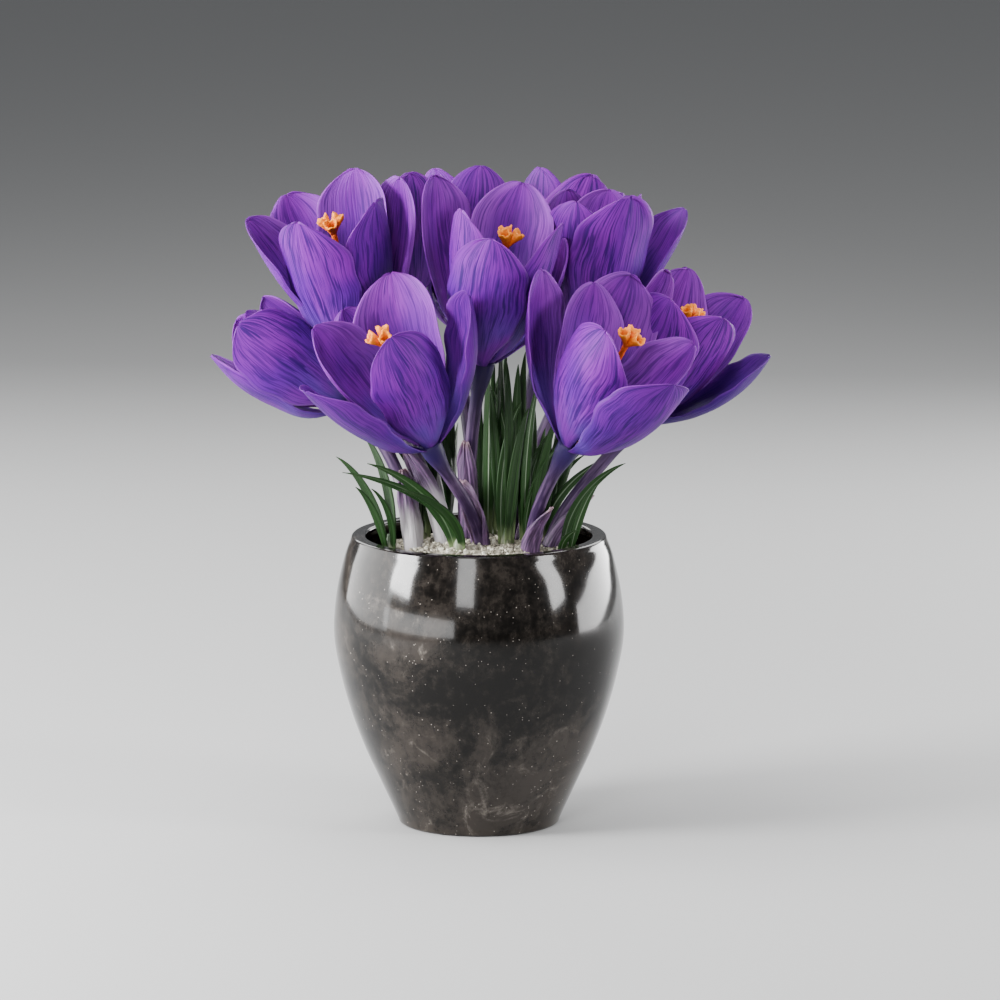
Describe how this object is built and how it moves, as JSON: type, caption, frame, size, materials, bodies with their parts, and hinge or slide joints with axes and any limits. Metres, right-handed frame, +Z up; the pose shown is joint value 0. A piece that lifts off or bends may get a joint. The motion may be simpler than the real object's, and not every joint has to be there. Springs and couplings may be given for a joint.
{
  "type": "potted crocus",
  "caption": "Potted crocus with wide purple striped blooms, frilled orange stigmas and narrow leaves in a round dark glazed pot.",
  "frame": {"origin": "centre of the pot's foot, on the surface it stands on", "axes": "+Z up along the pot's axis, -Y towards the plant's front"},
  "size_m": [0.1563, 0.1265, 0.1839],
  "materials": {
    "glaze": "dark smoky glazed stoneware, glossy",
    "gravel": "pale beige-grey gravel, rough",
    "petal": "violet petal with darker streaks, soft satin",
    "stigma": "orange stigma, matte",
    "bract": "papery lilac and white bract, matte",
    "leaf": "dark green leaf with a pale midrib, satin"
  },
  "bodies": {
    "root": {"pot": "glaze", "soil": "gravel", "bloom_01": "petal", "stigma_01": "stigma", "bract_01": "bract", "bloom_02": "petal", "stigma_02": "stigma", "bract_02": "bract", "bloom_03": "petal", "stigma_03": "stigma", "bract_03": "bract", "bloom_04": "petal", "stigma_04": "stigma", "bract_04": "bract", "bloom_05": "petal", "stigma_05": "stigma", "bract_05": "bract", "bloom_06": "petal", "stigma_06": "stigma", "bract_06": "bract", "bloom_07": "petal", "stigma_07": "stigma", "bract_07": "bract", "bloom_08": "petal", "stigma_08": "stigma", "bract_08": "bract", "bloom_09": "petal", "stigma_09": "stigma", "bract_09": "bract", "bloom_10": "petal", "stigma_10": "stigma", "bract_10": "bract", "leaves_01": "leaf", "leaves_02": "leaf", "leaves_03": "leaf", "leaves_04": "leaf", "leaves_05": "leaf", "leaves_06": "leaf", "leaves_07": "leaf", "leaves_08": "leaf", "leaves_09": "leaf", "leaves_10": "leaf"}
  },
  "joints": []
}
